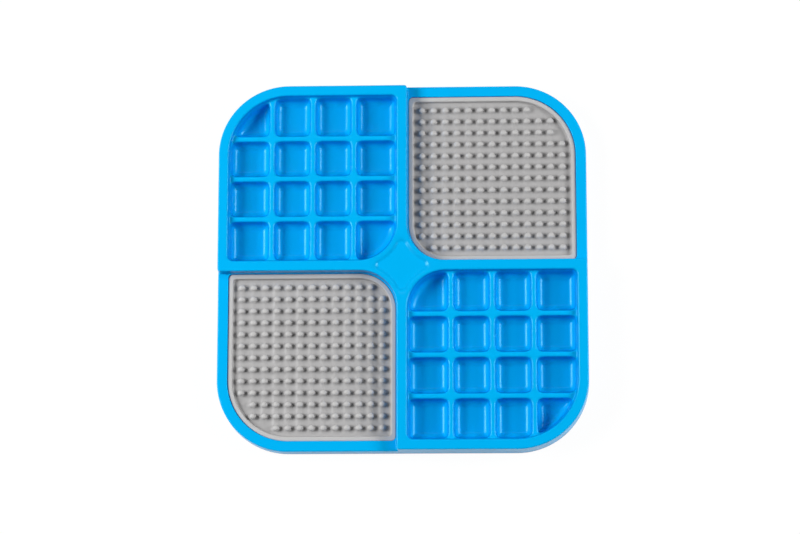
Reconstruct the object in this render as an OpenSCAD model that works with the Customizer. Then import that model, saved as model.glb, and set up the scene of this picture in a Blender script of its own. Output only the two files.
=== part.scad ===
// Square slow-feeding lick mat, in millimetres.
// A glossy blue moulded tray has four quadrants. Two of them are raised and hold 4 x 4 deep pockets,
// and two are lower and hold a grey rubber licking mat each, which lifts out to be washed.
// The origin is on the table under the centre, +Z is up, and -Y is the side nearest the user.

/* [Tray] */
// Width across the outer edges of the raised rim, at its top
tray_w = 200; // [180:1:240]
// Height from the skirt's lower edge to the top of the raised rim
tray_h = 15.8; // [14:0.1:24]
// Radius of the tray's four outer corners, in plan
corner_r = 38.3; // [34:0.1:44]
// Width of the rim's top
rim_w = 5.35; // [4.8:0.05:7]
// Width of the cross bars between the quadrants, at their top
bar_w = 5.5; // [4.5:0.1:8]
// Lean of the outer wall, outwards to the foot of the skirt, in degrees
wall_draft = 2.5; // [0.5:0.1:4]
// Height by which the raised quadrants stand over the low rim
step_h = 6.5; // [4.5:0.1:8]
// Radius that rounds the ends of the raised rim, in plan
rim_end_r = 1.5; // [0.5:0.1:2.5]

/* [Underside] */
// Thickness of the tray under the pockets
floor_t = 2.8; // [2:0.1:4]
// Thickness of the tray under the licking mats
seat_t = 2; // [1.2:0.1:2.5]
// Thickness of the skirt, at the level of the rim's top edge
skirt_t = 2.3; // [1.8:0.1:2.6]
// Width of the groove that hollows the rim from below
groove_w = 1.4; // [0.8:0.1:1.6]
// Thickness of the material left over the groove
groove_roof = 2.4; // [1.8:0.1:3]
// Thickness of the stiffening ribs under the tray
web_t = 2.2; // [1.4:0.1:3]
// Gap between the stiffening ribs and the level of the skirt's lower edge
web_gap = 0.6; // [0.2:0.1:1.2]

/* [Pockets] */
// Depth of the rib tops below the raised rim
rib_drop = 3; // [1.5:0.1:4]
// Depth of the pocket floors below the rib tops
pocket_depth = 7; // [5:0.1:7.5]
// Spacing of the ribs, centre to centre
pocket_pitch = 22.35; // [20:0.05:22.6]
// Thickness of the ribs at their top
rib_w = 2.6; // [1.6:0.1:4]
// Radius of the pocket corners, in plan
pocket_corner_r = 3.6; // [1:0.1:5]
// Lean of the pocket walls, inwards to the floor, in degrees
pocket_draft = 5; // [1:0.5:8]
// Height and width of the bevel between the pocket walls and the floor
pocket_bevel = 3.4; // [0.8:0.1:4]
// Radius of the raised field's corner next to the plaque, in plan
field_centre_r = 21; // [16:0.5:26]
// Radius of the raised field's two small corners, in plan
field_side_r = 3.2; // [1.5:0.1:6]

/* [Centre plaque] */
// Distance across the plaque, from tip to tip
plaque_w = 27.8; // [22:0.1:30]
// Radius of the plaque's four tips
plaque_tip_r = 2.5; // [1.5:0.1:3.5]
// Depth of the plaque's bare recess
plaque_depth = 0.5; // [0.2:0.1:1.5]

/* [Licking mats] */
// Ledge at the foot of the bars, beside the licking mats
mat_ledge = 0.65; // [0.3:0.05:1.2]
// Thickness of the licking mat's base
mat_t = 1.2; // [1:0.1:2]
// Width of the lip round the licking mat
lip_w = 2.2; // [1.4:0.1:3]
// Height of the lip over the base
lip_h = 2.3; // [1:0.1:2.8]
// Radius of the mat's corner next to the plaque, in plan
mat_centre_r = 19.5; // [15:0.5:24]
// Radius of the mat's two small corners, in plan
mat_side_r = 3; // [2.4:0.1:5]
// Spacing of the nubs, centre to centre
nub_pitch = 6.385; // [5.8:0.005:6.5]
// Diameter of a nub
nub_d = 3.3; // [2.4:0.1:4]
// Height of a nub over the base
nub_h = 2.6; // [1.8:0.1:3]
// Least distance from a nub's centre to the mat's outer edge
nub_edge = 4.6; // [4.2:0.1:5.2]

/* [Feet] */
// Height by which the feet stand out below the skirt
foot_stand = 1.2; // [0.8:0.1:3]
// Diameter of a rubber foot
foot_d = 15.8; // [10:0.1:18]
// Distance from the centre of a foot to the tray's edges beside it
foot_inset = 22; // [20:0.5:40]
// Height and width of the bevel round a foot's sole
foot_bevel = 0.6; // [0.2:0.1:0.8]
// Thickness of the collar that holds a foot
collar_t = 2; // [1.2:0.1:3]

/* [Clearances] */
// Gap between a licking mat and the wall of its recess
mat_clear = 0.35; // [0.2:0.05:0.6]
// Gap between a foot and its collar
foot_clear = 0.1; // [0.05:0.05:0.3]

/* [Hidden] */
$fn = 96;
// Sides of a nub's circle, in a preview
nub_fn = 24;
// Nubs along each side of a licking mat's grid
nub_count = 13;
// Pockets along each side of a raised field
pocket_count = 4;
// Overrun of every cut past the face that it opens
overrun = 1;
// Steps along each arc of the plaque's outline
arc_steps = 12;

// Levels above the table
skirt_z = foot_stand;
rim_z = skirt_z + tray_h;
low_z = rim_z - step_h;
rib_z = rim_z - rib_drop;
floor_z = rib_z - pocket_depth;
under_z = floor_z - floor_t;
seat_z = under_z + seat_t;
mat_z = seat_z + mat_t;
web_z = skirt_z + web_gap;

// Places in plan, from the centre outwards
half_w = tray_w / 2;
bar_half = bar_w / 2;
field_hi = half_w - rim_w;
field_mid = (bar_half + field_hi) / 2;
field_outer_r = corner_r - rim_w;
recess_lo = bar_half + mat_ledge;
recess_outer_r = corner_r - rim_w;
mat_lo = recess_lo + mat_clear;
mat_hi = field_hi - mat_clear;
mat_mid = (mat_lo + mat_hi) / 2;
mat_outer_r = recess_outer_r - mat_clear;
skirt_half = half_w - skirt_t;
skirt_r = corner_r - skirt_t;
groove_half = skirt_half - groove_w;
groove_r = skirt_r - groove_w;
foot_xy = half_w - foot_inset;
socket_d = foot_d + 2 * foot_clear;

// Edges of pocket i along either axis of a raised field: its near edge and its far edge
function rib_line(i) = field_mid + (i - pocket_count / 2) * pocket_pitch;
function pocket_near(i) = i == 0 ? bar_half : rib_line(i) + rib_w / 2;
function pocket_far(i) = i == pocket_count - 1 ? field_hi : rib_line(i + 1) - rib_w / 2;

// Place of nub i along either axis of a licking mat
function nub_at(i) = mat_mid + (i - (nub_count - 1) / 2) * nub_pitch;

// Distance by which a point lies inside a mat's edge, along the arcs of its two large corners
function arc_depth(x, y, centre, r, side) =
    (x - centre) * side > 0 && (y - centre) * side > 0 ? r - norm([x - centre, y - centre]) : r;
function nub_fits(x, y) =
    arc_depth(x, y, mat_hi - mat_outer_r, mat_outer_r, 1) >= nub_edge
    && arc_depth(x, y, mat_lo + mat_centre_r, mat_centre_r, -1) >= nub_edge;

// What a square corner at the origin loses when it is rounded, with its solid towards -X and -Y
module corner_waste(r) {
    translate([-r, -r]) difference() {
        square(r + overrun);
        circle(r);
    }
}

// Plan of a field in the +X +Y quadrant, with its own radius at each kind of corner
module field_plan(lo, hi, outer_r, centre_r, side_r) {
    difference() {
        translate([lo, lo]) square(hi - lo);
        translate([hi, hi]) corner_waste(outer_r);
        translate([lo, lo]) rotate(180) corner_waste(centre_r);
        translate([lo, hi]) rotate(90) corner_waste(side_r);
        translate([hi, lo]) rotate(-90) corner_waste(side_r);
    }
}

// Rounded square, centred
module round_plan(half, r) {
    square([2 * half, 2 * (half - r)], center = true);
    square([2 * (half - r), 2 * half], center = true);
    for (x = [-1, 1], y = [-1, 1]) translate([x, y] * (half - r)) circle(r);
}

// Solid with leaning sides and rounded corners, from z0 up to z1, with its full size given at z1
module leaning_block(half, r, z0, z1, draft) {
    spread = (z1 - z0) * tan(draft);
    straight = 2 * (half - r);
    side = [[half, z1], [-half, z1], [-half - spread, z0], [half + spread, z0]];
    for (turn = [0, 90]) rotate([90, 0, turn])
        linear_extrude(straight, center = true) polygon(side);
    for (x = [-1, 1], y = [-1, 1]) translate([x * straight / 2, y * straight / 2, z0])
        cylinder(h = z1 - z0, r1 = r + spread, r2 = r);
}

// Plan of what is cut away above the low rim in the +X +Y quadrant, back to the cross bars
module low_quadrant_plan() {
    difference() {
        translate([bar_half, bar_half]) square(half_w);
        translate([bar_half, bar_half]) rotate(180) corner_waste(mat_centre_r + mat_ledge);
    }
    translate([bar_half, half_w]) corner_waste(rim_end_r);
    translate([half_w, bar_half]) corner_waste(rim_end_r);
}

// Plan of the 16 pockets of a raised field, at the rib tops
module pocket_plan() {
    intersection() {
        field_plan(bar_half, field_hi, field_outer_r, field_centre_r, field_side_r);
        for (i = [0 : pocket_count - 1], j = [0 : pocket_count - 1]) {
            size = [pocket_far(i) - pocket_near(i), pocket_far(j) - pocket_near(j)];
            translate([pocket_near(i), pocket_near(j)]) difference() {
                square(size);
                translate(size) corner_waste(pocket_corner_r);
                rotate(180) corner_waste(pocket_corner_r);
                translate([0, size[1]]) rotate(90) corner_waste(pocket_corner_r);
                translate([size[0], 0]) rotate(-90) corner_waste(pocket_corner_r);
            }
        }
    }
}

// Row of four troughs with leaning walls and a bevelled floor, running along Y
module pocket_troughs() {
    lean = (pocket_depth - pocket_bevel) * tan(pocket_draft);
    bevel_z = floor_z + pocket_bevel;
    top_z = rib_z + overrun;
    for (i = [0 : pocket_count - 1]) {
        near = pocket_near(i);
        far = pocket_far(i);
        outline = [
            [near, top_z], [near, rib_z], [near + lean, bevel_z], [near + lean + pocket_bevel, floor_z],
            [far - lean - pocket_bevel, floor_z], [far - lean, bevel_z], [far, rib_z], [far, top_z]
        ];
        translate([0, half_w, 0]) rotate([90, 0, 0]) linear_extrude(half_w) polygon(outline);
    }
}

// All that is cut out of a raised quadrant: the field down to the rib tops, and the pockets under it
module raised_field_cut() {
    translate([0, 0, rib_z]) linear_extrude(rib_drop + overrun)
        field_plan(bar_half, field_hi, field_outer_r, field_centre_r, field_side_r);
    intersection() {
        translate([0, 0, floor_z]) linear_extrude(pocket_depth + overrun) pocket_plan();
        pocket_troughs();
        mirror([1, -1, 0]) pocket_troughs();
    }
}

// Points along an arc about a centre, from one angle up to the next, the last one left out
function arc_points(centre, r, from, to) =
    [for (k = [0 : arc_steps - 1]) let (a = from + (to - from) * k / arc_steps) centre + r * [cos(a), sin(a)]];

// Plan of the plaque: four round tips joined by sides that curve in round the fields' corners
module plaque_plan() {
    tip = plaque_w / 2 - plaque_tip_r;
    arc = bar_half + field_centre_r;
    reach = norm([arc - tip, arc]);
    lean = atan2(arc, arc - tip);
    quarter = concat(
        arc_points([tip, 0], plaque_tip_r, -lean, lean),
        arc_points([arc, arc], reach - plaque_tip_r, 180 + lean, 270 - lean)
    );
    polygon([for (turn = [0, 90, 180, 270], p = quarter)
        [p[0] * cos(turn) - p[1] * sin(turn), p[0] * sin(turn) + p[1] * cos(turn)]]);
}

// Groove that hollows the rim from below, up to the roof left under the given top
module rim_groove(top) {
    translate([0, 0, under_z - overrun]) linear_extrude(top - groove_roof - under_z + overrun) difference() {
        round_plan(skirt_half, skirt_r);
        round_plan(groove_half, groove_r);
    }
}

// The four places of the feet
module at_feet() {
    for (x = [-1, 1], y = [-1, 1]) translate([x, y] * foot_xy) children();
}

// Ribs and foot collars that stand down from the tray's underside
module underside_webs() {
    translate([0, 0, web_z]) linear_extrude(under_z - web_z + overrun) difference() {
        intersection() {
            round_plan(skirt_half + skirt_t / 2, skirt_r + skirt_t / 2);
            union() {
                for (turn = [0, 45, 90, 135]) rotate(turn) square([2 * tray_w, web_t], center = true);
                at_feet() circle(d = socket_d + 2 * collar_t);
            }
        }
        at_feet() circle(d = socket_d);
    }
}

// The blue tray, one moulding
module tray() color("deepskyblue") {
    difference() {
        leaning_block(half_w, corner_r, skirt_z, rim_z, wall_draft);
        for (turn = [0, 180]) rotate(turn) {
            translate([0, 0, low_z]) linear_extrude(step_h + overrun) low_quadrant_plan();
            translate([0, 0, seat_z]) linear_extrude(tray_h)
                field_plan(recess_lo, field_hi, recess_outer_r, mat_centre_r + mat_clear, mat_side_r + mat_clear);
            rotate(90) raised_field_cut();
        }
        translate([0, 0, rim_z - plaque_depth]) linear_extrude(plaque_depth + overrun) plaque_plan();
        translate([0, 0, skirt_z - overrun]) linear_extrude(under_z - skirt_z + overrun)
            round_plan(skirt_half, skirt_r);
        rim_groove(low_z);
        intersection() {
            rim_groove(rim_z);
            for (turn = [90, 270]) rotate(turn) linear_extrude(rim_z) square(tray_w);
        }
    }
    underside_webs();
}

// One nub: a short post with a round top
module nub() {
    r = nub_d / 2;
    root = mat_t / 2;
    translate([0, 0, mat_z - root]) rotate_extrude($fn = nub_fn) intersection() {
        square([r, root + nub_h]);
        union() {
            square([r, root + nub_h - r]);
            translate([0, root + nub_h - r]) circle(r);
        }
    }
}

// Licking mat of the +X +Y quadrant
module lick_mat() {
    lip_top = mat_t + lip_h;
    translate([0, 0, seat_z]) linear_extrude(mat_t)
        field_plan(mat_lo, mat_hi, mat_outer_r, mat_centre_r, mat_side_r);
    translate([0, 0, seat_z]) linear_extrude(lip_top) difference() {
        field_plan(mat_lo, mat_hi, mat_outer_r, mat_centre_r, mat_side_r);
        field_plan(mat_lo + lip_w, mat_hi - lip_w, mat_outer_r - lip_w, mat_centre_r - lip_w, mat_side_r - lip_w);
    }
    for (i = [0 : nub_count - 1], j = [0 : nub_count - 1])
        if (nub_fits(nub_at(i), nub_at(j))) translate([nub_at(i), nub_at(j), 0]) nub();
}

module lick_mat_rear_right() color("silver") lick_mat();
module lick_mat_front_left() color("silver") rotate(180) lick_mat();

// One rubber foot, pressed up into its collar, in the quadrant that x and y point to
module foot(x, y) color("darkgray") translate([x * foot_xy, y * foot_xy, 0]) {
    cylinder(h = foot_bevel, d1 = foot_d - 2 * foot_bevel, d2 = foot_d);
    translate([0, 0, foot_bevel]) cylinder(h = under_z - foot_bevel, d = foot_d);
}

module foot_front_left() foot(-1, -1);
module foot_front_right() foot(1, -1);
module foot_rear_left() foot(-1, 1);
module foot_rear_right() foot(1, 1);

tray();
lick_mat_rear_right();
lick_mat_front_left();
foot_front_left();
foot_front_right();
foot_rear_left();
foot_rear_right();
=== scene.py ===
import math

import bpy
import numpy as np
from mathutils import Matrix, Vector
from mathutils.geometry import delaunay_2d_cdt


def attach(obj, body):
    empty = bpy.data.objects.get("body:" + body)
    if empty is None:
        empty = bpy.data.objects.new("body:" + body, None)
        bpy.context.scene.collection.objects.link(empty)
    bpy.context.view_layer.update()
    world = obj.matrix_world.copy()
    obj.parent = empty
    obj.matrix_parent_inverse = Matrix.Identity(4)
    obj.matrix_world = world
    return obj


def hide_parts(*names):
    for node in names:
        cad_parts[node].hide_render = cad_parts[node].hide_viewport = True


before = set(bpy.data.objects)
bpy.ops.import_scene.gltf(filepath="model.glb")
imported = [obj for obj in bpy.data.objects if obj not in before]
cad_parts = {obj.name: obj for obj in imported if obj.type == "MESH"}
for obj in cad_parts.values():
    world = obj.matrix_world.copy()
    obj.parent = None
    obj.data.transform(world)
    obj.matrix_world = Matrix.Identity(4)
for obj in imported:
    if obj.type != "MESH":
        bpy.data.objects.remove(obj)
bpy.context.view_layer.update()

# %% [markdown]
# A lick mat is a feeding tray for dogs and cats. This one is a blue moulded tray with four quadrants: two of
# them are raised and hold deep pockets, and two are low and hold a grey rubber mat full of nubs. The CAD
# model is already loaded as a fixed frame, so every size below is set in that frame, in millimetres, and each
# new surface keeps close to the CAD solid's own. The main difference is in the edges: the solids have sharp
# ones, and a moulding has none.

# %% [markdown]
# The camera comes first, because everything else is judged through it. It looks down steeply, from over a
# metre away and from a little to the right of the front, with a long lens. Its place was worked out from
# what the tray itself shows: the nubs and ribs lie on even grids, so their places in the picture fix the
# place, tilt and lens together. Blender's camera looks along its own -Z, and its rotation is the transpose
# of the one that carries the tray into the camera's view.

# %% Camera
CAMERA_MM = (57.2, -235.5, 1321.8)
TURNS = (-0.17741173, -0.04361857, 0.00772199)
FOCAL_PX, FRAME_W, HALF_PX, SENSOR_MM = 2457.9, 800, 0.5, 36

into_view = Matrix.Rotation(TURNS[2], 3, "Z") @ Matrix.Rotation(TURNS[1], 3, "Y")
into_view = into_view @ Matrix.Rotation(TURNS[0], 3, "X")
camera = bpy.data.objects.new("camera", bpy.data.cameras.new("camera"))
camera.matrix_world = Matrix.Translation(Vector(CAMERA_MM) / 1000) @ into_view.transposed().to_4x4()
camera.data.sensor_width = SENSOR_MM
camera.data.lens = SENSOR_MM * FOCAL_PX / FRAME_W
camera.data.shift_x = -HALF_PX / FRAME_W
camera.data.shift_y = HALF_PX / FRAME_W
camera.data.clip_end = 10
bpy.context.scene.collection.objects.link(camera)
bpy.context.scene.camera = camera
print("lens", round(camera.data.lens, 1), "mm")

# %% [markdown]
# The sizes are named as a maker would name them. Heights are measured from the table. The plan is symmetric
# under half a turn, and each quadrant is symmetric about its diagonal, so most of it is worked out from
# the distances |x| and |y| from the two axes. The names that end in _R are radii. SKIRT_OUT is how far the
# leaning wall has come out at the skirt's foot, and the two eases say over what width a soft corner turns.

# %% Sizes in millimetres
TRAY_HALF, CORNER_R = 100.0, 38.3
BAR_HALF, RIM_EDGE = 2.75, 94.65
RIM_Z, LOW_Z, RIB_Z, FLOOR_Z, SEAT_Z, UNDER_Z, SKIRT_Z = 17.0, 10.5, 14.0, 7.0, 6.2, 4.2, 1.2
WALL_LEAN, POCKET_LEAN = math.tan(math.radians(2.5)), math.tan(math.radians(10))
RIB_PITCH, RIB_HALF, FIELD_MID = 22.35, 1.3, (BAR_HALF + RIM_EDGE) / 2
FIELD_R = (CORNER_R - TRAY_HALF + RIM_EDGE, 21.0, 3.2)
RECESS_LO, RECESS_R = 3.4, (FIELD_R[0], 19.85, 2.45)
LOW_CENTRE_R, RIM_END_R = 20.15, 1.5
SKIRT_OUT = 0.6898
PLAQUE_TIP, PLAQUE_TIP_R, PLAQUE_DEPTH, PLAQUE_LEAN = 10.7, 3.2, 0.9, 0.8
PLAQUE_FLOOR_R, PLAQUE_EDGE_R, STEP_FOOT_R = 0.6, 0.9, 0.5
EDGE_R, RIB_EDGE_R, FLOOR_R, POCKET_R, RECESS_EDGE_R, RECESS_FLOOR_R = 0.7, 0.9, 3.4, 3.6, 0.3, 0.3
POCKET_EASE, WALL_EASE = 0.6, 0.8
print("rib lines at", [FIELD_MID + k * RIB_PITCH for k in (-1, 0, 1)])

# %% [markdown]
# A moulding has no sharp edges. The steel it was cast against was cut with round tools, and melted plastic
# doesn't run into a sharp corner. A Bevel modifier could round the CAD mesh, but it fails where fillets of
# different sizes meet, as at every rib end here. So the shape is first written as a depth: a function that
# says how deep a point lies inside the plastic, with zero on the surface. Two solids are then joined or cut
# by combining their depths, and the combining formula itself leaves the fillet.

# %% Rounded cuts and joins
def cut_round(a, b, r):
    """Depth inside both of two solids. Near their common edge it is r less the distance to the point that
    lies r deep in both, which rounds the edge to radius r."""
    return np.maximum(r, np.minimum(a, b)) - np.hypot(np.maximum(r - a, 0), np.maximum(r - b, 0))


def join_round(a, b, r):
    """Depth inside either of two solids, with the corner between them filled to radius r: the rounded cut of
    the two empty spaces, turned round."""
    return -cut_round(-a, -b, r)


def soft_min(a, b, k):
    """The lesser of two numbers, less (k - |a - b|) squared over 4k where they are within k of each other."""
    return np.minimum(a, b) - np.maximum(k - np.abs(a - b), 0) ** 2 / (4 * k)


def square_depth(a, b, lo, hi, radii):
    """Distance inside a square from lo to hi, its corners rounded to radii (far, near the centre, the other
    two): each side's distance, joined by the rounded cut with that corner's radius."""
    half = (hi - lo) / 2
    u, v = a - lo - half, b - lo - half
    r = np.where(u * v < 0, radii[2], np.where(u > 0, radii[0], radii[1]))
    return cut_round(half - np.abs(u), half - np.abs(v), r)


print("an edge of radius 1 is cut back by", round(float(-cut_round(0.0, 0.0, 1.0)), 3), "at its corner")

# %% [markdown]
# A raised quadrant is a block with a field sunk 3 mm into it, and in the field lie 4 x 4 pockets with ribs
# between them. Each rib is 2.6 mm wide at its top and wider below, because moulded walls lean so that the
# part leaves its mould. The pocket floors turn up into the walls with a wide fillet that a tongue can reach
# into. A pocket's corners are round at its mouth, and the corner gets sharper towards the floor, as it does
# wherever one round tool has cut along both walls. Where a rib meets the rim, the same corner leaves a small
# shelf at the height of the ribs.

# %% Depth inside a raised quadrant
def outer_depth(a, b, z):
    """Depth inside the tray's leaning outer wall: the rounded square, grown by the lean for each mm below
    the rim."""
    return square_depth(a, b, -TRAY_HALF, TRAY_HALF, (CORNER_R,) * 3) + (RIM_Z - z) * WALL_LEAN


def rib_gap(v, z):
    """Distance from the side of the nearest rib that crosses the axis v, at height z."""
    line = FIELD_MID + RIB_PITCH * np.clip(np.round((v - FIELD_MID) / RIB_PITCH), -1, 1)
    return np.abs(v - line) - RIB_HALF - (RIB_Z - z) * POCKET_LEAN


def in_corner(a, b):
    """The lesser of two distances from walls, eased where they are alike: over POCKET_EASE plus POCKET_R at
    the walls, and over POCKET_EASE from POCKET_R inwards, so that each line at one distance turns its corner
    more sharply than the line outside it."""
    return soft_min(a, b, POCKET_EASE + POCKET_R * np.clip(1 - np.minimum(a, b) / POCKET_R, 0, 1))


def pocket_walls(a, b, z):
    """Depth inside the walls round the pockets: the rounded ribs with their corners, joined softly to the
    field's wall."""
    room = square_depth(a, b, BAR_HALF, RIM_EDGE, FIELD_R) - (RIM_Z - z) * POCKET_LEAN
    inside = in_corner(in_corner(rib_gap(a, z), rib_gap(b, z)), room)
    ribs = cut_round(RIB_Z - z, -inside, RIB_EDGE_R)
    return -soft_min(room, -ribs, WALL_EASE)


def raised_depth(a, b, z):
    """Depth inside a raised quadrant: walls joined to the floor with a wide fillet, cut by the block's
    outside."""
    block = cut_round(RIM_Z - z, outer_depth(a, b, z), EDGE_R)
    return cut_round(block, join_round(pocket_walls(a, b, z), FLOOR_Z - z, FLOOR_R), RIB_EDGE_R)


print("depth at a rib's top and at a pocket's floor:",
      raised_depth(np.array(26.35), np.array(37.5), np.array([RIB_Z, FLOOR_Z])).round(3))

# %% [markdown]
# A low quadrant is a shelf with a low rim, and the cross bars stand over it as a step of 6.5 mm. A shallow
# recess in the shelf holds the rubber mat. The ends of the bars are rounded in plan where they run out
# through the outer wall. The plaque in the middle is a shallow four-pointed recess with soft edges, and it is
# left bare.

# %% Depth inside a low quadrant, and the whole top
def low_depth(a, b, z):
    """Depth inside a low quadrant: bars with round ends, joined to the shelf, and cut by the mat's recess.
    The fillet at the bars' foot fades out between 1.1 and 0.3 mm from the outer wall."""
    outside = outer_depth(a, b, z)
    off_bars = cut_round(a - BAR_HALF, b - BAR_HALF, LOW_CENTRE_R)
    bars = cut_round((RIM_Z - z) * WALL_LEAN - off_bars, outside, RIM_END_R)
    shelf = cut_round(LOW_Z - z, outside, EDGE_R)
    foot = STEP_FOOT_R * np.clip((outside - 0.3) / 0.8, 0, 1)
    both = join_round(cut_round(RIM_Z - z, bars, EDGE_R), shelf, foot)
    recess = square_depth(a, b, RECESS_LO, RIM_EDGE, RECESS_R)
    return cut_round(both, -cut_round(recess, z - SEAT_Z, RECESS_FLOOR_R), RECESS_EDGE_R)


HOLLOW = BAR_HALF + FIELD_R[1]
HOLLOW_REACH = math.hypot(HOLLOW - PLAQUE_TIP, HOLLOW)
TIP_TURN = math.atan2(HOLLOW, HOLLOW - PLAQUE_TIP)


def plaque_depth_in_plan(a, b):
    """Distance inside the four-pointed plaque: from the tip's circle near a tip, and from the big circle that
    hollows each side elsewhere."""
    far, near = np.maximum(a, b), np.minimum(a, b)
    at_tip = np.arctan2(near, far - PLAQUE_TIP) < TIP_TURN
    return np.where(at_tip, PLAQUE_TIP_R - np.hypot(far - PLAQUE_TIP, near),
                    np.hypot(far - HOLLOW, near - HOLLOW) - HOLLOW_REACH + PLAQUE_TIP_R)


def tray_depth(x, y, z):
    """Depth inside the tray: the raised form where x and y differ in sign, the low form elsewhere, less the
    plaque's recess with its sloping sides."""
    a, b = np.abs(x), np.abs(y)
    solid = np.where(x * y < 0, raised_depth(a, b, z), low_depth(a, b, z))
    plaque = plaque_depth_in_plan(a, b) - (RIM_Z - z) * PLAQUE_LEAN
    plaque = cut_round(plaque, z - RIM_Z + PLAQUE_DEPTH, PLAQUE_FLOOR_R)
    return cut_round(solid, -plaque, PLAQUE_EDGE_R)


print("depth 1 mm under the rim, the shelf and the plaque:",
      tray_depth(np.array([-97.0, 97.0, 0]), np.array([50.0, 50.0, 0]), np.array([16.0, 9.5, 15.5])).round(2))

# %% [markdown]
# The tray's top is a height over each point of the plan, because the part was pulled off its mould upwards
# and no wall leans the other way. A plain square grid of such heights would need millions of points to keep
# the steep walls clean. Instead the points are laid along contour lines, loops that run beside every edge
# and fillet, and a Delaunay triangulation joins them up. Each loop is a chain of arcs with straight runs
# between them.

# %% Loops in the plan
def steps_between(p, q, gap):
    """Points from p up to q, q left out, at most gap apart."""
    n = max(1, int(math.ceil(np.hypot(*(q - p)) / gap)))
    return p + (q - p) * (np.arange(n) / n)[:, None]


def arc_loop(arcs, inset, gap=1.6, turn=9.0):
    """Closed loop through arcs (centre x, centre y, radius, first and last angle): centre plus
    |radius - inset| along each angle, a hollow corner having a negative radius. Straight runs are cut into
    steps of gap."""
    parts = []
    for x, y, r, first, last in arcs:
        sweep = abs(last - first)
        n = max(3, int(math.ceil(sweep / turn)), int(abs(r - inset) * math.radians(sweep) / gap))
        angle = np.radians(np.linspace(first, last, n + 1))
        parts.append(np.array([x, y]) + abs(r - inset) * np.stack([np.cos(angle), np.sin(angle)], 1))
    runs = [np.concatenate([part[:-1], steps_between(part[-1], following[0], gap)])
            for part, following in zip(parts, parts[1:] + parts[:1])]
    return np.concatenate(runs)


def turned(arcs, degrees):
    """The same arcs turned about the tray's centre: each arc's centre turned, and the angle added to both of
    its angles."""
    c, s = math.cos(math.radians(degrees)), math.sin(math.radians(degrees))
    return [(x * c - y * s, x * s + y * c, r, first + degrees, last + degrees)
            for x, y, r, first, last in arcs]


def square_arcs(lo, hi, radii):
    """The four corners of a rounded square in the +X +Y quadrant, anticlockwise from its near right one."""
    far, near, side = radii
    return [(hi - side, lo + side, side, -90, 0), (hi - far, hi - far, far, 0, 90),
            (lo + side, hi - side, side, 90, 180), (lo + near, lo + near, near, 180, 270)]


hollow_centre = BAR_HALF + LOW_CENTRE_R
end_centre, end_side = TRAY_HALF - RIM_END_R, BAR_HALF - RIM_END_R
raised_half = [(end_centre, end_side, RIM_END_R, 0, 90),
               (hollow_centre, hollow_centre, -LOW_CENTRE_R, 270, 180),
               (end_side, end_centre, RIM_END_R, 0, 90),
               (CORNER_R - TRAY_HALF, TRAY_HALF - CORNER_R, CORNER_R, 90, 180)]
RAISED_EDGE = raised_half + turned(raised_half, 180)
OUTER_EDGE = square_arcs(-TRAY_HALF, TRAY_HALF, (CORNER_R,) * 3)
FIELD_EDGE = square_arcs(BAR_HALF, RIM_EDGE, FIELD_R)
RECESS_EDGE = square_arcs(RECESS_LO, RIM_EDGE, RECESS_R)
print("the raised edge has", len(arc_loop(RAISED_EDGE, 0)), "points")

# %% [markdown]
# A mesh builder gathers the loops. An edge's rounding is a quarter circle, so its loops stand where that
# quarter circle has turned by equal angles, and they crowd together where it gets steep. After the
# triangulation each point's height is found by halving: the surface lies between a point inside the plastic
# and one above it, and the middle is tested again and again. The shading normals come from the depth
# function too, as the direction in which it falls fastest, so that even a coarse fillet shines evenly.

# %% Plan mesh, heights and normals
TOUCHING_MM, LEAST_AREA = 1e-4, 1e-7


def keep_runs(loop, keep, closed=True):
    """The points of a loop that are kept, and the pairs of them that were neighbours."""
    number = np.arange(len(loop))
    pairs = np.stack([number, np.roll(number, -1)], 1)[:len(loop) if closed else -1]
    number = np.cumsum(keep) - 1
    pairs = pairs[keep[pairs].all(1)]
    return loop[keep], number[pairs]


class Plan:
    """Points and lines in the plan, waiting to be triangulated."""

    def __init__(self):
        self.points, self.lines, self.count = [], [], 0

    def add(self, loop, keep=None, closed=True):
        """Adds a loop of points, or an open line, with the lines between neighbours that are both kept."""
        keep = np.ones(len(loop), bool) if keep is None else keep
        points, pairs = keep_runs(loop, keep, closed)
        self.points.append(points)
        self.lines.append(pairs + self.count)
        self.count += len(points)

    def scatter(self, points):
        """Adds loose points."""
        self.points.append(points)
        self.count += len(points)

    def triangles(self, inside):
        """Delaunay triangles, anticlockwise, whose centres satisfy inside(x, y)."""
        flat = np.concatenate(self.points)
        lines = np.concatenate(self.lines).tolist()
        found = delaunay_2d_cdt([Vector(p) for p in flat.tolist()], lines, [], 0, TOUCHING_MM)
        xy = np.array([tuple(p) for p in found[0]])
        tri = np.array(found[2])
        p, q, r = xy[tri[:, 0]], xy[tri[:, 1]], xy[tri[:, 2]]
        area = (q[:, 0] - p[:, 0]) * (r[:, 1] - p[:, 1]) - (q[:, 1] - p[:, 1]) * (r[:, 0] - p[:, 0])
        tri = np.where((area < 0)[:, None], tri[:, ::-1], tri)
        middle = (p + q + r) / 3
        return xy, tri[(np.abs(area) > LEAST_AREA) & inside(middle[:, 0], middle[:, 1])]


def height_over(depth, x, y, low, high):
    """Height of the surface over each point, by 36 halvings between a level inside and a level above."""
    lo, hi = np.full(len(x), float(low)), np.full(len(x), float(high))
    for _ in range(36):
        mid = (lo + hi) / 2
        within = depth(x, y, mid) > 0
        lo, hi = np.where(within, mid, lo), np.where(within, hi, mid)
    return lo


def outward(depth, x, y, z, h=0.01):
    """Unit normals: minus the slope of the depth, by its change over a step h to either side along each
    axis."""
    slope = np.stack([depth(x - h, y, z) - depth(x + h, y, z), depth(x, y - h, z) - depth(x, y + h, z),
                      depth(x, y, z - h) - depth(x, y, z + h)], 1)
    return slope / np.maximum(np.linalg.norm(slope, axis=1), 1e-12)[:, None]


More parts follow.
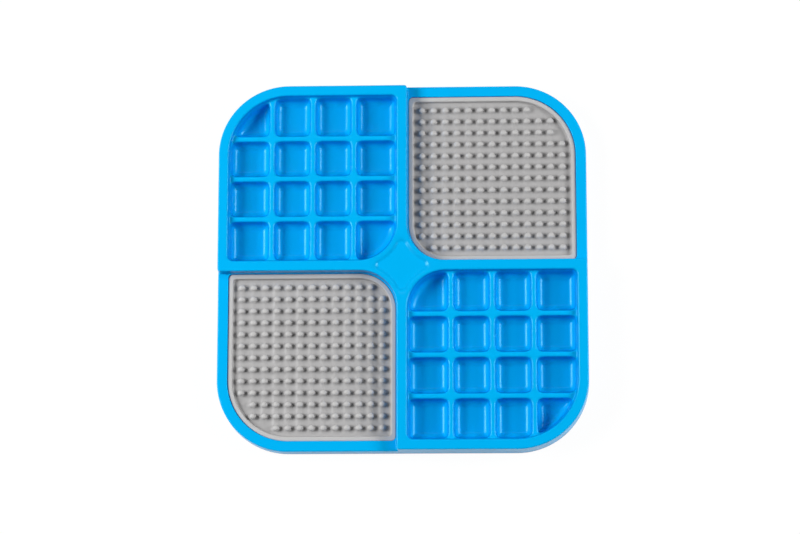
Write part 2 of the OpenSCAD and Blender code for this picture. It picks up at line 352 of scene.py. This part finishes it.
def rounding(r, steps=6, last=0.12):
    """Distances from an edge at which its rounding of radius r has turned by equal angles, from a quarter
    turn at the inmost down to the last one, in radians: r times 1 less the angle's cosine."""
    return r * (1 - np.cos(np.linspace(math.pi / 2, last, steps)))


print("loops of an edge stand at", rounding(EDGE_R).round(2), "mm")

# %% [markdown]
# The loops on the tray follow the raised edge, the outer wall, the two fields, the two mat recesses and the
# plaque. A loop that would run under a neighbour's edge is broken off there. Each list gives distances
# inwards from the loop's edge, and they lie close together where the surface bends.

# %% Loops of the tray's top
def both_ways(loop, signs):
    """The loop in the quadrant with these signs, and the same turned by half a turn."""
    there = loop * np.array(signs)
    return [there, -there]


def raised_distance(x, y):
    """Distance inside the raised part in plan, negative over the low shelves."""
    a, b = np.abs(x), np.abs(y)
    bars = -cut_round(a - BAR_HALF, b - BAR_HALF, LOW_CENTRE_R)
    return np.where(x * y > 0, cut_round(bars, outer_depth(a, b, RIM_Z), RIM_END_R), 1.0)


SHELF_BREAK, RECESS_BREAK = -0.35, -0.33
plan = Plan()
for inset in [1.15, *rounding(EDGE_R), -0.03, -0.15, -0.26]:
    plan.add(arc_loop(RAISED_EDGE, inset))
for inset in (-0.36, -0.5, -0.6, -SKIRT_OUT):
    plan.add(arc_loop(OUTER_EDGE, inset, gap=2.5))
for inset in [0.9, *(rounding(EDGE_R) - 0.284), -0.3]:
    loop = arc_loop(OUTER_EDGE, inset)
    plan.add(loop, raised_distance(loop[:, 0], loop[:, 1]) < SHELF_BREAK)
for inset in [-1.25, *-rounding(RIB_EDGE_R), 0.07, 0.15, 0.235]:
    for loop in both_ways(arc_loop(FIELD_EDGE, inset, gap=0.9), (-1, 1)):
        plan.add(loop)
for inset in [-0.7, *-rounding(RECESS_EDGE_R, 4), 0, 0.02, 0.15, 0.3, 0.6]:
    for loop in both_ways(arc_loop(RECESS_EDGE, inset), (1, 1)):
        plan.add(loop, raised_distance(loop[:, 0], loop[:, 1]) < RECESS_BREAK)

tip_turn = math.degrees(TIP_TURN)
plaque_quarter = [(PLAQUE_TIP, 0, PLAQUE_TIP_R, -tip_turn, tip_turn),
                  (HOLLOW, HOLLOW, PLAQUE_TIP_R - HOLLOW_REACH, 180 + tip_turn, 270 - tip_turn)]
PLAQUE_EDGE = [arc for turn in (0, 90, 180, 270) for arc in turned(plaque_quarter, turn)]
for inset in (-0.5, -0.3, -0.15, 0, 0.15, 0.3, 0.5, 0.7, 0.9, 1.15, 1.5):
    plan.add(arc_loop(PLAQUE_EDGE, inset, gap=0.8))
print(plan.count, "points so far")

# %% [markdown]
# The pockets have no simple outline, because field wall, ribs and floor fillet run into each other. Their
# contour lines are found instead: rays go out from the middle of a pocket, and along each ray the same
# halving finds where the wall stands at a given height. The points are then spread along each contour by
# its length and its turning together, so that the corners get their share.

# %% Contour lines of the pockets
def spread(loop, n):
    """n points on a closed loop, evenly spaced in length plus turning, with all its turning worth its whole
    length."""
    closed = np.concatenate([loop, loop[:1]])
    step = np.diff(closed, axis=0)
    length = np.hypot(step[:, 0], step[:, 1])
    heading = np.arctan2(step[:, 1], step[:, 0])
    bend = np.abs((np.roll(heading, -1) - heading + math.pi) % (2 * math.pi) - math.pi)
    share = length / length.sum() + (bend + np.roll(bend, 1)) / 2 / max(bend.sum(), 1e-9)
    along = np.concatenate([[0], np.cumsum(share)])
    want = np.arange(n) / n * along[-1]
    return np.stack([np.interp(want, along, closed[:, 0]), np.interp(want, along, closed[:, 1])], 1)


def reach_along(centre, share):
    """Length of a ray at which it has gone far enough along one axis, share being its cosine with that axis:
    16 mm from an outer pocket towards the field's wall, and half the ribs' pitch otherwise."""
    outer = np.where(share > 0, centre > cells[2] + 1, centre < cells[1] - 1)
    return np.where(outer, PAST_WALL, RIB_PITCH / 2) / np.maximum(np.abs(share), 1e-6)


LEVELS = np.array([13.985, 13.93, 13.83, 13.7, 13.5, 13.1, 12.3, 11.3,
                   10.3, 9.4, 8.7, 8.1, 7.65, 7.3, 7.1, 7.01])
RAYS, CONTOUR_POINTS, PAST_WALL = 480, 64, 16.0
cells = FIELD_MID + RIB_PITCH * (np.arange(4) - 1.5)
angles = np.arange(RAYS) / RAYS * 2 * math.pi
cosine, sine = np.cos(angles), np.sin(angles)
cx, cy = np.meshgrid(cells, cells)
cx, cy = cx.ravel()[:, None, None], cy.ravel()[:, None, None]
near = np.zeros((cx.size, len(LEVELS), RAYS))
far = near + np.minimum(reach_along(cx, cosine), reach_along(cy, sine))
for _ in range(24):
    middle = (near + far) / 2
    a, b = cx + middle * cosine, cy + middle * sine
    z = LEVELS[None, :, None]
    solid = join_round(pocket_walls(a, b, z), FLOOR_Z - z, FLOOR_R)
    near, far = np.where(solid < 0, middle, near), np.where(solid < 0, far, middle)
contours = np.stack([cx + near * cosine, cy + near * sine], -1).reshape(-1, RAYS, 2)
for contour in contours:
    for loop in both_ways(spread(contour, CONTOUR_POINTS), (-1, 1)):
        plan.add(loop)
print(plan.count, "points with the pockets")

# %% [markdown]
# The rib tops need a few lines of their own, and the places where a rib runs into the rim or where the rim's
# end meets the low shelf get a fine square of points, because two roundings cross there.

# %% Rib tops and the crossings of fillets
BY_WALL = 0.3
along = np.arange(BAR_HALF + 0.6, RIM_EDGE - 0.5, 1.1)
for line in FIELD_MID + RIB_PITCH * np.array([-1, 0, 1]):
    for side in (-0.3, 0.3):
        rib = np.stack([np.full_like(along, line + side), along], 1)
        for one in (rib, rib[:, ::-1]):
            clear = square_depth(one[:, 0], one[:, 1], BAR_HALF, RIM_EDGE, FIELD_R) > BY_WALL
            for run in both_ways(one, (-1, 1)):
                plan.add(run, clear, closed=False)

grid = np.arange(BAR_HALF, RIM_EDGE, 0.35)
ga, gb = (v.ravel() for v in np.meshgrid(grid, grid))
wall = square_depth(ga, gb, BAR_HALF, RIM_EDGE, FIELD_R)
near_end = (wall > BY_WALL) & (wall < 2.4) & (np.minimum(rib_gap(ga, RIB_Z), rib_gap(gb, RIB_Z)) < 2)
ga, gb = ga[near_end], gb[near_end]
top = height_over(raised_depth, ga, gb, FLOOR_Z - 0.5, RIM_Z + 0.5)
for points in both_ways(np.stack([ga, gb], 1)[top > 13.93], (-1, 1)):
    plan.scatter(points)

fine = np.arange(-0.6, 4.4, 0.3)
ex, ey = (v.ravel() for v in np.meshgrid(TRAY_HALF + 0.4 - fine, fine))
for points in (np.stack([ex, ey], 1), np.stack([ey, ex], 1)):
    inner = (raised_distance(points[:, 0], points[:, 1]) < -0.05) & (outer_depth(*points.T, LOW_Z) > 0.02)
    inner &= points.min(1) > 0
    plan.scatter(points[inner])
    plan.scatter(-points[inner])
print(plan.count, "points on the tray's top")

# %% [markdown]
# The underside is seen only when the tray is turned over: a skirt, a groove that hollows the rim so that it
# doesn't sink as the plastic cools, eight stiffening ribs like spokes, and a collar for each rubber foot. Its
# edges may be crisp. It is a height field too, seen from below, whose walls are ramps a few hundredths of a
# millimetre wide.

# %% Underside
RAMP = 0.06
SKIRT_IN, GROOVE_IN, ROOF, CORNER_MID = (97.7, 36.0), (96.3, 34.6), 2.4, 61.7
WEB_HALF, WEB_Z, FOOT_AT, SOCKET_R, COLLAR_R = 1.1, 1.8, 78.0, 8.0, 10.0


def under_height(x, y):
    """Height of the underside: the skirt's foot, the groove up to its roof, the plate, and the spokes and
    collars that hang from the plate, each change of level being a ramp."""
    a, b = np.abs(x), np.abs(y)
    in_skirt = square_depth(a, b, -SKIRT_IN[0], SKIRT_IN[0], (SKIRT_IN[1],) * 3)
    in_groove = square_depth(a, b, -GROOVE_IN[0], GROOVE_IN[0], (GROOVE_IN[1],) * 3)
    roof = np.where(x * y < 0, RIM_Z, LOW_Z) - ROOF
    level = SKIRT_Z + np.clip(in_skirt / RAMP, 0, 1) * (roof - SKIRT_Z)
    level = level - np.clip(in_groove / RAMP, 0, 1) * (roof - UNDER_Z)
    spoke = WEB_HALF - np.minimum(np.minimum(a, b), np.abs(a - b) / math.sqrt(2))
    from_foot = np.hypot(a - FOOT_AT, b - FOOT_AT)
    hanging = np.clip(np.maximum(spoke, COLLAR_R - from_foot) / RAMP + 1, 0, 1)
    hanging = hanging * np.clip((from_foot - SOCKET_R) / RAMP, 0, 1)
    return level + hanging * (np.minimum(level, WEB_Z) - level)


below = Plan()
below.add(arc_loop(OUTER_EDGE, -SKIRT_OUT, gap=2.5))
for half, r in (SKIRT_IN, GROOVE_IN):
    arcs = square_arcs(-half, half, (r, r, r))
    for inset in (0, RAMP):
        below.add(arc_loop(arcs, inset, gap=6, turn=4))
for r in (SOCKET_R, SOCKET_R + RAMP, COLLAR_R, COLLAR_R + RAMP):
    ring = r * np.stack([cosine[::10], sine[::10]], 1)
    for signs in ((-1, -1), (-1, 1), (1, -1), (1, 1)):
        below.add(ring + FOOT_AT * np.array(signs))
for turn in np.radians([0, 45, 90, 135]):
    ahead = np.array([math.cos(turn), math.sin(turn)])
    across = np.array([-math.sin(turn), math.cos(turn)])
    straight = abs(math.sin(2 * turn)) < 0.5
    end = SKIRT_IN[0] if straight else CORNER_MID * math.sqrt(2) + SKIRT_IN[1]
    for side in (-WEB_HALF - RAMP, -WEB_HALF, WEB_HALF, WEB_HALF + RAMP):
        below.add(across * side + ahead * np.linspace(-end, end, 40)[:, None], closed=False)
print(below.count, "points on the underside")

# %% [markdown]
# Top and underside meet on one ring, the outer edge of the skirt's foot. A small function turns the points
# and triangles into a mesh and sets the shading normals: the top's own, and flat ones below. It works in
# millimetres and turns to metres at the end. Another counts the edges that two triangles don't share, which
# a closed mesh has none of.

# %% Mesh from points
def make_piece(name, xyz, tri, corner_normals):
    """A mesh object from points in mm, triangles, and a normal for each corner of each triangle."""
    mesh = bpy.data.meshes.new(name)
    mesh.vertices.add(len(xyz))
    mesh.vertices.foreach_set("co", (xyz / 1000).astype(np.float32).ravel())
    mesh.loops.add(tri.size)
    mesh.loops.foreach_set("vertex_index", tri.astype(np.int32).ravel())
    mesh.polygons.add(len(tri))
    mesh.polygons.foreach_set("loop_start", np.arange(0, tri.size, 3, dtype=np.int32))
    mesh.update(calc_edges=True)
    mesh.polygons.foreach_set("use_smooth", np.ones(len(tri), bool))
    mesh.normals_split_custom_set(corner_normals.reshape(-1, 3).tolist())
    piece = bpy.data.objects.new(name, mesh)
    bpy.context.scene.collection.objects.link(piece)
    return piece


def flat_normals(xyz, tri):
    """The normal of each triangle, given to its three corners."""
    p, q, r = (xyz[tri[:, k]] for k in range(3))
    n = np.cross(q - p, r - p)
    n /= np.maximum(np.linalg.norm(n, axis=1), 1e-12)[:, None]
    return np.repeat(n[:, None], 3, 1)


def merged(xyz, tri):
    """Points that fall together to a ten-thousandth of a millimetre made one, and triangles that have lost a
    corner left out."""
    keys, number = np.unique(np.round(xyz / TOUCHING_MM).astype(np.int64), axis=0, return_inverse=True)
    first = np.full(len(keys), -1)
    first[number[::-1]] = np.arange(len(xyz))[::-1]
    tri = number.ravel()[tri]
    whole = (tri[:, 0] != tri[:, 1]) & (tri[:, 1] != tri[:, 2]) & (tri[:, 2] != tri[:, 0])
    return xyz[first], tri[whole], whole


def open_edges(tri):
    """How many edges aren't shared by two triangles, and how many there are: each edge's two ends are sorted,
    and equal pairs are counted."""
    ends = np.sort(np.concatenate([tri[:, [0, 1]], tri[:, [1, 2]], tri[:, [2, 0]]]), axis=1)
    uses = np.unique(ends, axis=0, return_counts=True)[1]
    return int((uses != 2).sum()), len(uses)


AT_FOOT = 0.002
xy, top_tri = plan.triangles(lambda x, y: outer_depth(np.abs(x), np.abs(y), SKIRT_Z) > 0)
top_z = height_over(tray_depth, xy[:, 0], xy[:, 1], SKIRT_Z, RIM_Z + 0.5)
top_z[outer_depth(np.abs(xy[:, 0]), np.abs(xy[:, 1]), SKIRT_Z) < AT_FOOT] = SKIRT_Z
top = np.column_stack([xy, top_z])
top_normals = outward(tray_depth, *top.T)

uv, under_tri = below.triangles(lambda x, y: outer_depth(np.abs(x), np.abs(y), SKIRT_Z) > 0)
under = np.column_stack([uv, under_height(uv[:, 0], uv[:, 1])])
under_tri = under_tri[:, ::-1]

points = np.concatenate([top, under])
faces = np.concatenate([top_tri, under_tri + len(top)])
normals = np.concatenate([top_normals[top_tri], flat_normals(under, under_tri)])
points, faces, whole = merged(points, faces)
normals = normals[whole]
tray = make_piece("tray_moulding", points, faces, normals)
print("tray:", len(points), "points,", len(faces), "triangles")
print("edges not shared by two triangles, of all:", open_edges(faces))
print("height range", points[:, 2].min().round(3), points[:, 2].max().round(3))

# %% [markdown]
# The tray's material paints shade on its steep inner walls, so it needs to know where they are. A number
# from 0 to 1 is stored with the mesh on each corner of each triangle: how far the normal has turned from
# upright, times how far the corner lies inside the outer wall.

# %% Where the steep inner walls are, for their painted shade
LEVEL_UP, STEEP_UP = 0.8, 0.3
OUTSIDE_MM, INSIDE_MM = 1.5, 3.0
place = points[faces]
from_outside = outer_depth(*np.abs(place[..., :2]).transpose(2, 0, 1), place[..., 2])
steep = np.clip((LEVEL_UP - normals[..., 2]) / (LEVEL_UP - STEEP_UP), 0, 1)
inward = np.clip((from_outside - OUTSIDE_MM) / (INSIDE_MM - OUTSIDE_MM), 0, 1)
painted_wall_shade = tray.data.attributes.new("painted_wall_shade", "FLOAT", "CORNER")
painted_wall_shade.data.foreach_set("value", (steep * inward).astype(np.float32).ravel())
print("mean of the stored number:", round(float((steep * inward).mean()), 3))

# %% [markdown]
# The licking mats are soft rubber, pressed in a mould as one sheet with a lip round it and a grid of nubs. A
# nub is a short post with a round top. An array of modelled nubs on a flat sheet would leave a hard line
# round each foot, so the mat is written as one depth again, with a small fillet at the foot of each nub. The
# nub's rings have only twelve points each, because there are hundreds of them. The names that end in _LEAN
# say how far a side leans for each mm of height.

# %% Depth inside a mat
MAT_LO, MAT_HI, MAT_R = 3.44, 94.61, (32.91, 19.81, 2.41)
MAT_Z, LIP_Z, NUB_Z, LIP_W = 7.4, 9.7, 10.0, 2.5
NUB_R, NUB_PITCH, NUB_COUNT, NUB_EDGE = 1.72, 6.385, 13, 4.9
NUB_TOP_R, NUB_FOOT_R, NUB_LEAN = 1.1, 0.35, 0.04
LIP_EDGE_R, LIP_FOOT_R, LIP_LEAN, MAT_EDGE_R, MAT_LEAN = 0.6, 0.5, 0.14, 0.5, 0.01
NUB_HALF, NO_NUB = NUB_COUNT // 2, 9.0
MAT_MID = (MAT_LO + MAT_HI) / 2
LIP_LO, LIP_HI, LIP_R = MAT_LO + LIP_W, MAT_HI - LIP_W, (MAT_R[0] - LIP_W, MAT_R[1] - LIP_W, 2.0)


def mat_inset(x, y):
    """Distance inside the mat's outline in plan."""
    return square_depth(x, y, MAT_LO, MAT_HI, MAT_R)


def arc_room(x, y, centre, r, side):
    """Distance inside one large corner of the mat, or its radius where the point is beside that corner."""
    beyond = ((x - centre) * side > 0) & ((y - centre) * side > 0)
    return np.where(beyond, r - np.hypot(x - centre, y - centre), r)


def nub_fits(x, y):
    """True where a nub at this point keeps clear of the mat's two large corners."""
    return ((arc_room(x, y, MAT_HI - MAT_R[0], MAT_R[0], 1) >= NUB_EDGE)
            & (arc_room(x, y, MAT_LO + MAT_R[1], MAT_R[1], -1) >= NUB_EDGE))


def mat_depth(x, y, z):
    """Depth inside a mat: lip and base joined by a small fillet, cut by the outline, and joined to the
    nearest nub, which is a post with a round top."""
    off_lip = square_depth(x, y, LIP_LO, LIP_HI, LIP_R)
    lip = cut_round(LIP_Z - z, (LIP_Z - z) * LIP_LEAN - off_lip, LIP_EDGE_R)
    inset = mat_inset(x, y) - (z - SEAT_Z) * MAT_LEAN
    sheet = cut_round(join_round(lip, MAT_Z - z, LIP_FOOT_R), inset, MAT_EDGE_R)
    i, j = (np.clip(np.round((v - MAT_MID) / NUB_PITCH), -NUB_HALF, NUB_HALF) * NUB_PITCH + MAT_MID
            for v in (x, y))
    away = np.where(nub_fits(i, j), np.hypot(x - i, y - j), NO_NUB)
    nub = cut_round(NUB_Z - z, NUB_R - (z - MAT_Z) * NUB_LEAN - away, NUB_TOP_R)
    return join_round(sheet, nub, NUB_FOOT_R)


nub_line = MAT_MID + NUB_PITCH * (np.arange(NUB_COUNT) - NUB_HALF)
nx, ny = (v.ravel() for v in np.meshgrid(nub_line, nub_line))
nubs = np.stack([nx, ny], 1)[nub_fits(nx, ny)]
print(len(nubs), "nubs on a mat")

# %% Mesh of the mats
mat_plan = Plan()
MAT_EDGE = square_arcs(MAT_LO, MAT_HI, MAT_R)
MAT_GAP, RING_TWIST = 2.2, 0.26
for inset in [0, 0.02, *(0.033 + rounding(MAT_EDGE_R, 5))]:
    mat_plan.add(arc_loop(MAT_EDGE, inset, gap=MAT_GAP))
for inset in [*-rounding(LIP_EDGE_R, 5), 0.1, 0.2, 0.3, 0.45, 0.7]:
    mat_plan.add(arc_loop(square_arcs(LIP_LO, LIP_HI, LIP_R), inset, gap=MAT_GAP))
twelfths = np.arange(12) / 12 * 2 * math.pi
for k, r in enumerate((1.95, 1.5, 0.9)):
    turns = twelfths + k * RING_TWIST
    ring = r * np.stack([np.cos(turns), np.sin(turns)], 1)
    for at in nubs:
        mat_plan.add(ring + at)
mat_plan.scatter(nubs)
mxy, mat_tri = mat_plan.triangles(lambda x, y: mat_inset(x, y) > 0)
mat_z = height_over(mat_depth, mxy[:, 0], mxy[:, 1], SEAT_Z, NUB_Z + 0.5)
mat_z[mat_inset(mxy[:, 0], mxy[:, 1]) < AT_FOOT] = SEAT_Z
mat_top = np.column_stack([mxy, mat_z])
mat_normals = outward(mat_depth, *mat_top.T)

back = Plan()
back.add(arc_loop(MAT_EDGE, 0, gap=MAT_GAP))
bxy, back_tri = back.triangles(lambda x, y: mat_inset(x, y) > 0)
mat_back = np.column_stack([bxy, np.full(len(bxy), SEAT_Z)])
back_tri = back_tri[:, ::-1]

mat_points = np.concatenate([mat_top, mat_back])
mat_faces = np.concatenate([mat_tri, back_tri + len(mat_top)])
corner = np.concatenate([mat_normals[mat_tri], flat_normals(mat_back, back_tri)])
mat_points, mat_faces, whole = merged(mat_points, mat_faces)
corner = corner[whole]
half_turn = np.array([-1, -1, 1])
rear_mat = make_piece("mat_rear_right", mat_points, mat_faces, corner)
front_mat = make_piece("mat_front_left", mat_points * half_turn, mat_faces, corner * half_turn)
print("mat:", len(mat_points), "points,", len(mat_faces), "triangles")
print("edges not shared by two triangles, of all:", open_edges(mat_faces))

# %% [markdown]
# Each new piece says which CAD node it stands for and which body it moves with. The rubber feet keep
# their CAD solids, because a plain disc with a bevelled sole is all they are.

# %% Riding on the frame
for piece, node, body, slot in ((tray, "tray", "tray", "tray_plastic"),
                                (rear_mat, "lick_mat_rear_right", "rear_right_mat", "mat_rubber"),
                                (front_mat, "lick_mat_front_left", "front_left_mat", "mat_rubber")):
    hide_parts(node)
    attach(piece, body)
    print(piece.name, "replaces", node)

# %% [markdown]
# Materials are node trees. One function turns a written colour into the linear numbers that Blender works
# with, and one adds a node with its settings and links.

# %% Colour and node helpers
def srgb(code):
    """Linear colour from an sRGB hex code: each channel over 255, then (c + 0.055) / 1.055 to the power 2.4,
    or c / 12.92 for the darkest."""
    c = np.array([int(code[i:i + 2], 16) for i in (1, 3, 5)]) / 255
    linear = np.where(c <= 0.04045, c / 12.92, ((c + 0.055) / 1.055) ** 2.4)
    return (*linear.tolist(), 1.0)


def add(tree, kind, links=None, **settings):
    """A node of this kind. A setting named like one of its sockets fills it, and any other sets a property. A
    link is a socket's name or number and the output that feeds it."""
    node = tree.nodes.new(kind)
    for key, value in settings.items():
        name = key.replace("_", " ")
        if name in node.inputs:
            node.inputs[name].default_value = value
        else:
            setattr(node, key, value)
    for socket, output in (links or {}).items():
        tree.links.new(output, node.inputs[socket])
    return node


def new_material(name):
    """An empty material with its output node, as (material, tree, output)."""
    material = bpy.data.materials.new(name)
    material.use_nodes = True
    tree = material.node_tree
    tree.nodes.clear()
    return material, tree, tree.nodes.new("ShaderNodeOutputMaterial")


print("the tray's blue is", [round(v, 3) for v in srgb("#00B2F7")[:3]], "linear")

# %% [markdown]
# The tray is injection-moulded polypropylene with a polished finish and blue colourant. Polished steel leaves
# a glossy skin, so the lamps show in it as sharp bright lines along every fillet. The skin isn't
# perfectly flat: it has a faint waviness of a few millimetres, as on orange peel, and very fine marks
# from handling that spread the shine a little. Two more tints are painted light and shade, matched to the
# photograph. Above the pockets' floors the blue is drawn a shade paler, by height, as painted light on the
# tops, and on the steep walls inside the tray it is drawn deeper, by the number stored with the mesh, as
# painted shade.

# %% Tray plastic: glossy moulded polypropylene
plastic, tree, out = new_material("polished_moulded_polypropylene")
place = add(tree, "ShaderNodeTexCoord").outputs["Object"]
peel = add(tree, "ShaderNodeTexNoise", {"Vector": place}, Scale=280.0, Detail=2.0, Roughness=0.5)
rubbed = add(tree, "ShaderNodeTexNoise", {"Vector": place}, Scale=60.0, Detail=4.0, Roughness=0.6)
gloss = add(tree, "ShaderNodeMapRange", {"Value": rubbed.outputs["Fac"]},
            From_Min=0.3, From_Max=0.7, To_Min=0.18, To_Max=0.26)
tint = add(tree, "ShaderNodeMix", {"Factor": rubbed.outputs["Fac"]},
           data_type="RGBA", A=srgb("#00B2F7"), B=srgb("#00B7FB"))
# Painted light: above the pockets' floors the tops are drawn a paler blue, #00BAFD, by height.
height = add(tree, "ShaderNodeSeparateXYZ", {"Vector": place}).outputs["Z"]
raised = add(tree, "ShaderNodeMapRange", {"Value": height}, From_Min=0.0078, From_Max=0.0098, To_Max=0.7)
tint = add(tree, "ShaderNodeMix", {"Factor": raised.outputs["Result"], "A": tint.outputs["Result"]},
           data_type="RGBA", B=srgb("#00BAFD"))
# Painted shade: the steep inner walls are drawn a deeper blue, #0099EB, by the stored number.
on_wall = add(tree, "ShaderNodeAttribute", attribute_name="painted_wall_shade").outputs["Fac"]
tint = add(tree, "ShaderNodeMix", {"Factor": on_wall, "A": tint.outputs["Result"]},
           data_type="RGBA", B=srgb("#0099EB"))
bump = add(tree, "ShaderNodeBump", {"Height": peel.outputs["Fac"]}, Strength=0.06, Distance=0.0002)
shader = add(tree, "ShaderNodeBsdfPrincipled",
             {"Base Color": tint.outputs["Result"], "Roughness": gloss.outputs["Result"],
              "Normal": bump.outputs["Normal"]},
             IOR=1.49, Specular_IOR_Level=0.27, Specular_Tint=(0.46, 1.0, 1.0, 1.0))
tree.links.new(shader.outputs["BSDF"], out.inputs["Surface"])
tray.data.materials.append(plastic)
print(plastic.name)

# %% [markdown]
# The mats are moulded thermoplastic rubber in light grey. Its mould is lightly blasted, so it has a fine
# grain and a satin look with a broad soft shine, and it picks up a little dust, which shows as faint
# lighter and darker patches. The tops of the lip and the nubs are drawn paler than the lanes between them,
# by height, as painted light, matched to the photograph.

# %% Mat rubber: satin thermoplastic rubber
rubber, tree, out = new_material("satin_moulded_rubber")
place = add(tree, "ShaderNodeTexCoord").outputs["Object"]
grain = add(tree, "ShaderNodeTexNoise", {"Vector": place}, Scale=1600.0, Detail=3.0, Roughness=0.6)
patch = add(tree, "ShaderNodeTexNoise", {"Vector": place}, Scale=45.0, Detail=3.0, Roughness=0.6)
# Painted light: the tops of the lip and the nubs are drawn a paler grey, #C9C8C7, by height.
height = add(tree, "ShaderNodeSeparateXYZ", {"Vector": place}).outputs["Z"]
raised = add(tree, "ShaderNodeMapRange", {"Value": height}, From_Min=0.0084, From_Max=0.0098)
tint = add(tree, "ShaderNodeMix", {"Factor": patch.outputs["Fac"]},
           data_type="RGBA", A=srgb("#ACABAB"), B=srgb("#B4B3B3"))
tint = add(tree, "ShaderNodeMix", {"Factor": raised.outputs["Result"], "A": tint.outputs["Result"]},
           data_type="RGBA", B=srgb("#C9C8C7"))
bump = add(tree, "ShaderNodeBump", {"Height": grain.outputs["Fac"]}, Strength=0.25, Distance=0.0001)
shader = add(tree, "ShaderNodeBsdfPrincipled",
             {"Base Color": tint.outputs["Result"], "Normal": bump.outputs["Normal"]},
             IOR=1.45, Roughness=0.38)
tree.links.new(shader.outputs["BSDF"], out.inputs["Surface"])
for piece in (rear_mat, front_mat):
    piece.data.materials.append(rubber)
print(rubber.name)

# %% Foot rubber: matt grey rubber
sole, tree, out = new_material("matt_moulded_rubber")
place = add(tree, "ShaderNodeTexCoord").outputs["Object"]
grain = add(tree, "ShaderNodeTexNoise", {"Vector": place}, Scale=1200.0, Detail=4.0, Roughness=0.65)
tint = add(tree, "ShaderNodeMix", {"Factor": grain.outputs["Fac"]},
           data_type="RGBA", A=srgb("#6E7074"), B=srgb("#7D7F83"))
bump = add(tree, "ShaderNodeBump", {"Height": grain.outputs["Fac"]}, Strength=0.4, Distance=0.0001)
shader = add(tree, "ShaderNodeBsdfPrincipled",
             {"Base Color": tint.outputs["Result"], "Normal": bump.outputs["Normal"]},
             IOR=1.45, Roughness=0.75)
tree.links.new(shader.outputs["BSDF"], out.inputs["Surface"])
for name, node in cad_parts.items():
    if name.startswith("foot_"):
        node.data.materials.clear()
        node.data.materials.append(sole)
print(sole.name)

# %% [markdown]
# The studio is a white table under soft light. Two long lamps stand at the left and the right, and draw the
# bright upright lines in every pocket. A third one at the back is weak, and stands low enough that no flat
# top mirrors it into the camera, which would turn the blue grey. Nothing shines from the front, so the walls
# that face it stay dark. To the camera the table is plain white by itself, and it keeps the tray's shadow
# by mixing a little of its lit surface in. Reflections see it half as bright, which gives the outer wall
# its pale grey-blue. The air round it all is nearly dark, and only the camera sees it white.

# %% Table
table = bpy.data.objects.new("table", bpy.data.meshes.new("table"))
TABLE_HALF = 3.0
table_corners = [(x * TABLE_HALF, y * TABLE_HALF, 0) for x, y in ((-1, -1), (1, -1), (1, 1), (-1, 1))]
table.data.from_pydata(table_corners, [], [(0, 1, 2, 3)])
bpy.context.scene.collection.objects.link(table)
white, tree, out = new_material("white_table")
seen = add(tree, "ShaderNodeLightPath")
straight = add(tree, "ShaderNodeMath",
               {0: seen.outputs["Is Camera Ray"], 1: seen.outputs["Is Transmission Ray"]},
               operation="MAXIMUM")
shine = add(tree, "ShaderNodeMath", {0: seen.outputs["Is Glossy Ray"]}, operation="MULTIPLY")
shine.inputs[1].default_value = 0.5
share = add(tree, "ShaderNodeMath", {0: straight.outputs[0], 1: shine.outputs[0]}, operation="MAXIMUM")
share = add(tree, "ShaderNodeMath", {0: share.outputs[0]}, operation="MINIMUM")
share.inputs[1].default_value = 0.94
paint = add(tree, "ShaderNodeBsdfDiffuse", Color=srgb("#F4F4F4"))
glow = add(tree, "ShaderNodeEmission", Color=srgb("#FFFFFF"), Strength=1.02)
mixed = add(tree, "ShaderNodeMixShader",
            {0: share.outputs[0], 1: paint.outputs["BSDF"], 2: glow.outputs["Emission"]})
tree.links.new(mixed.outputs["Shader"], out.inputs["Surface"])
table.data.materials.append(white)
print("table", 2 * TABLE_HALF, "m across")


# %% Lamps
def soft_lamp(name, at, width, height, power):
    """A white rectangular lamp at a point, facing the tray's centre: sizes in metres, power in watts."""
    light = bpy.data.lights.new(name, "AREA")
    light.shape, light.size, light.size_y, light.energy = "RECTANGLE", width, height, power
    lamp = bpy.data.objects.new(name, light)
    lamp.location = at
    lamp.rotation_euler = (-Vector(at)).to_track_quat("-Z", "Y").to_euler()
    bpy.context.scene.collection.objects.link(lamp)


soft_lamp("lamp_left", (-0.932, 0.033, 0.755), 0.64, 0.44, 13)
soft_lamp("lamp_right", (1.026, 0.08, 0.618), 0.64, 0.4, 10)
soft_lamp("lamp_over", (0.0, 0.636, 1.018), 1.2, 0.25, 0.9)

world = bpy.data.worlds.new("studio")
bpy.context.scene.world = world
world.use_nodes = True
tree = world.node_tree
tree.nodes.clear()
air = add(tree, "ShaderNodeBackground", Color=srgb("#FFFFFF"), Strength=0.04)
sky = add(tree, "ShaderNodeBackground", Color=srgb("#FFFFFF"), Strength=1.0)
seen = add(tree, "ShaderNodeLightPath")
mixed = add(tree, "ShaderNodeMixShader",
            {0: seen.outputs["Is Camera Ray"], 1: air.outputs["Background"], 2: sky.outputs["Background"]})
tree.links.new(mixed.outputs["Shader"], add(tree, "ShaderNodeOutputWorld").inputs["Surface"])
bpy.context.scene.view_settings.view_transform = "Standard"
